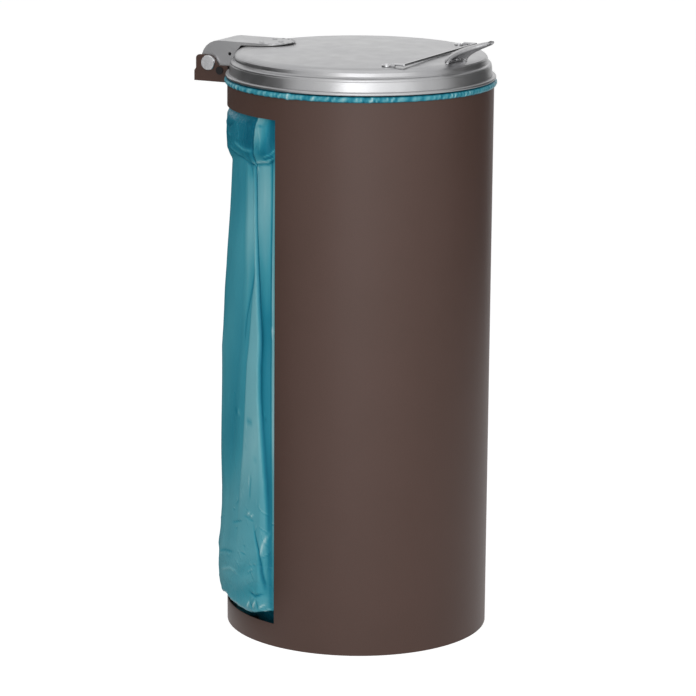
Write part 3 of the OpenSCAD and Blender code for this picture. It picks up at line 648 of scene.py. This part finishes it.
def band_rows(a):
    """The film turned over the ring: small gathers all round and one knot, with painted light on the gathers
    and the knot and painted shade under the lid and below the bead
    """
    wrap = (a + 180) % 360 - 180
    gather = waves(41, 18, (60, 420), (30, 110))
    ripple = waves(47, 14, (100, 700), (90, 190))
    swell = waves(43, 6, (0, 1), (3, 9))
    knot = np.exp(-((wrap + 84.4) / 1.3) ** 2)
    rings, painted_lights = [], []
    for z in (0.816, 0.822, 0.828, 0.833):
        grid = np.full(len(a), z)
        r, painted_light, _ = film_shape(wrap[None, :], grid[None, :])
        rings.append(around(r[0], a, grid))
        painted_lights.append(painted_light[0])
    for ang in range(180, -61, -15):
        t = math.radians(ang)
        level = 0.004 * t
        fold_and_painted_light = gather(level, wrap) + 0.8 * ripple(level, wrap)
        out = smooth_step((math.cos(t) + 0.2) / 0.6)
        rad = BEAD_R + (0.70 + (0.12 + 0.22 * out) * fold_and_painted_light) * MM + 1.2 * MM * knot * out
        rad = np.maximum(rad, BEAD_R + 0.3 * MM)
        x = BEAD[0] + rad * math.cos(t)
        height = BEAD[1] + rad * math.sin(t)
        if ang < 0:
            height = height - (ang / -60) * MM * (0.4 + 0.5 * gather(0.4, wrap) + 0.4 * swell(0.2, wrap))
        rings.append(around(x, a, height))
        # painted shade under the lid's hem and on the underside of the bead; painted light on the gather
        # crests and the knot
        painted_shade = (1 - 0.55 * smooth_step((-25 - ang) / 30)) * (1 - 0.75 * smooth_step((ang - 35) / 35))
        painted_lights.append((0.50 + 0.55 * fold_and_painted_light + 0.5 * knot) * painted_shade)
    return np.array(rings), np.array(painted_lights)


def build_sack():
    a, fine = film_columns(), band_columns()
    body, body_painted_light = body_rows(a)
    band, band_painted_light = band_rows(fine)
    rows = [a] * len(body) + [fine] * len(band)
    count = sum(len(row) for row in rows)
    skin = 0.35 * MM
    outer = np.concatenate([part.reshape(-1, 3) for part in (body, band)])
    normals = np.concatenate([grid_normals(part).reshape(-1, 3) for part in (body, band)])
    inner = outer - skin * normals
    verts = np.concatenate([outer, inner, [[0, 0, FLOOR_Z], [0, 0, FLOOR_Z + skin]]])
    faces = [f[::-1] for f in skin_faces(0, rows)] + skin_faces(count, rows)
    low, n, m = 2 * count, len(a), len(fine)
    for k in range(n):
        faces.append((low, k, (k + 1) % n))
        faces.append((low + 1, count + (k + 1) % n, count + k))
    for k in range(m):
        p, q = count - m + k, count - m + (k + 1) % m
        faces.append((p, p + count, q + count, q))
    o = mesh_object("sack_film", verts, faces, MATS["blue_film"])
    # painted light and shade of the film, stored on every point of both skins for the film's colour
    value = np.clip(np.concatenate([body_painted_light.reshape(-1), band_painted_light.reshape(-1)]), 0, 1)
    value = np.concatenate([value, value, [0.4, 0.4]]).astype(np.float32)
    o.data.attributes.new("fold_and_painted_light", "FLOAT", "POINT").data.foreach_set("value", value)
    height = verts[:, 2]
    near_floor = smooth_step((0.21 - height) / 0.15)
    near_ring = np.where(height < 0.80, 0.5, 1.0) * smooth_step((height - 0.725) / 0.02)
    crush = np.clip(np.maximum(near_floor, near_ring), 0, 1).astype(np.float32)
    o.data.attributes.new("crush", "FLOAT", "POINT").data.foreach_set("value", crush)
    bm = bmesh.new()
    bm.from_mesh(o.data)
    bmesh.ops.recalc_face_normals(bm, faces=bm.faces)
    bm.to_mesh(o.data)
    bm.free()
    print("sack triangles", sum(len(p.vertices) - 2 for p in o.data.polygons))
    return o


sack = build_sack()
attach(sack, "bin")
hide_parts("sack")


# Weld beads: a row of short raised dashes along the round end of the arm's tongue

def weld_beads():
    arm = NODES["lid_arm"]
    low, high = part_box("lid_arm")
    radius = high[0] - 3 * MM
    middle = low[1] + high[0]  # centre of the round end, on Y
    verts, faces = [], []
    count, steps = 11, 10
    first, sweep = 184, 172
    half_long, half_wide, crown = 3.0 * MM, 1.3 * MM, 0.9 * MM
    above = 1.2
    for i in range(count):
        turn = math.radians(first + sweep * i / (count - 1))
        at = Vector((math.cos(turn) * radius, middle + math.sin(turn) * radius, 0))
        place = arm.ray_cast(Vector((at.x, at.y, above)), Vector((0, 0, -1)))[1]
        along = Vector((-math.sin(turn), math.cos(turn), 0))
        across = Vector((math.cos(turn), math.sin(turn), 0))
        start = len(verts)
        for rise, size in ((-0.2, 1.0), (0.35, 0.92), (0.75, 0.6)):
            for k in range(steps):
                t = 2 * math.pi * k / steps
                verts.append(place + along * (half_long * size * math.cos(t))
                             + across * (half_wide * size * math.sin(t)) + Vector((0, 0, rise * MM)))
        verts.append(place + Vector((0, 0, crown)))
        for layer in (0, steps):
            for k in range(steps):
                p, q = start + layer + k, start + layer + (k + 1) % steps
                faces.append((p, q, q + steps, p + steps))
        for k in range(steps):
            faces.append((start + 2 * steps + k, start + 2 * steps + (k + 1) % steps, len(verts) - 1))
        faces.append(tuple(start + steps - 1 - k for k in range(steps)))
    o = mesh_object("weld_beads", verts, faces, MATS["lid_silver"])
    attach(o, "lid")


weld_beads()


# Floor and light: a pale floor, soft lights in front, above and beside, and dark panels that only
# reflections see, as in a studio

def ray_is(tree, *kinds):
    """1 for rays of these kinds, 0 for the others"""
    path = tree.nodes.new("ShaderNodeLightPath")
    value = path.outputs[kinds[0]]
    for kind in kinds[1:]:
        both = tree.nodes.new("ShaderNodeMath")
        both.operation = "MAXIMUM"
        tree.links.new(value, both.inputs[0])
        tree.links.new(path.outputs[kind], both.inputs[1])
        value = both.outputs[0]
    return value


SEEN = ("Is Camera Ray", "Is Glossy Ray", "Is Transmission Ray")
LIGHT_AIM = Vector((0, 0, 0.45))


def floor_material():
    m, t, b = material("floor", (0.45, 0.45, 0.45), 0.0, 0.9, specular=0.0)
    v = coords(t)
    t.links.new(ramp(t, noise(t, v, 3, 2), [(0.3, (0.445, 0.445, 0.445)), (0.7, (0.455, 0.455, 0.455))]),
                b.inputs["Base Color"])
    b.inputs["Emission Color"].default_value = (1, 1, 1, 1)
    t.links.new(span(t, ray_is(t, *SEEN), 0, 1, 0.0, 0.87), b.inputs["Emission Strength"])
    return m


def floor():
    s = 16
    o = mesh_object("floor", [(-s, -s, 0), (s, -s, 0), (s, s, 0), (-s, s, 0)], [(0, 1, 2, 3)],
                    floor_material(), False)
    o.location.z = -0.2 * MM


def world():
    w = bpy.data.worlds.new("world")
    scene.world = w
    w.use_nodes = True
    t = w.node_tree
    bg = t.nodes["Background"]
    bg.inputs["Color"].default_value = (1, 1, 1, 1)
    t.links.new(span(t, ray_is(t, *SEEN), 0, 1, 0.30, 1.0), bg.inputs["Strength"])


def beside(turn, distance, height):
    """A place at an angle to the right of the camera's direction, seen from the bin"""
    t = AZIMUTH + math.radians(turn)
    return Vector((math.sin(t) * distance, -math.cos(t) * distance, height))


def softbox(name, turn, distance, height, width, tall, radiance):
    d = bpy.data.lights.new(name, "AREA")
    d.shape = "RECTANGLE"
    d.size = width
    d.size_y = tall
    d.energy = radiance * math.pi * width * tall
    o = bpy.data.objects.new(name, d)
    bpy.context.scene.collection.objects.link(o)
    o.location = beside(turn, distance, height)
    o.rotation_mode = "QUATERNION"
    o.rotation_quaternion = (LIGHT_AIM - o.location).to_track_quat("-Z", "Y")
    o.visible_camera = False
    return o


def only_reflected(o):
    """A part of the stage that only reflections see"""
    o.visible_camera = False
    o.visible_diffuse = False
    o.visible_shadow = False


def side_panel(name, turn, distance, width, tall, shade):
    m, t, b = material(name, (shade, shade, shade), 0.0, 0.9, specular=0.0)
    v = coords(t)
    t.links.new(ramp(t, noise(t, v, 2, 1), [(0.3, (shade * 0.98,) * 3), (0.7, (shade * 1.02,) * 3)]),
                b.inputs["Base Color"])
    mid = beside(turn, distance, 0)
    along = Vector((mid.y, -mid.x, 0)).normalized() * width / 2
    low, high = Vector((0, 0, 0.001)), Vector((0, 0, tall))
    corners = [mid - along + low, mid + along + low, mid + along + high, mid - along + high]
    only_reflected(mesh_object(name, corners, [(0, 1, 2, 3)], m, False))


def floor_patch(name, start, end, near, far, shade):
    """A dark patch of floor between two angles, which only reflections see"""
    steps = 12
    turns = [start + (end - start) * i / steps for i in range(steps + 1)]
    corners = [beside(t, near, MM) for t in turns] + [beside(t, far, MM) for t in turns]
    faces = [(i, i + steps + 1, i + steps + 2, i + 1) for i in range(steps)]
    m = material(name, (shade, shade, shade), 0.0, 0.9, specular=0.0)[0]
    only_reflected(mesh_object(name, corners, faces, m, False))


floor()
world()
floor_patch("floor_patch", -55, -185, 0.26, 1.7, 0.05)
softbox("key", 13, 2.6, 0.95, 3.0, 2.6, 1.0)
softbox("front", -5, 2.4, 0.80, 1.2, 2.3, 1.55)
softbox("top", 0, 0.3, 2.8, 1.8, 1.8, 0.5)
side = softbox("side", -112, 2.3, 0.75, 1.8, 2.0, 1.35)
side.visible_glossy = False
for turn in (-80, -112, -144, -172):
    side_panel("left_panel_%d" % -turn, turn, 1.6, 1.0, 0.80 if turn < -130 else 1.6, 0.03)
side_panel("right_panel", 112, 2.0, 2.6, 2.2, 0.12)
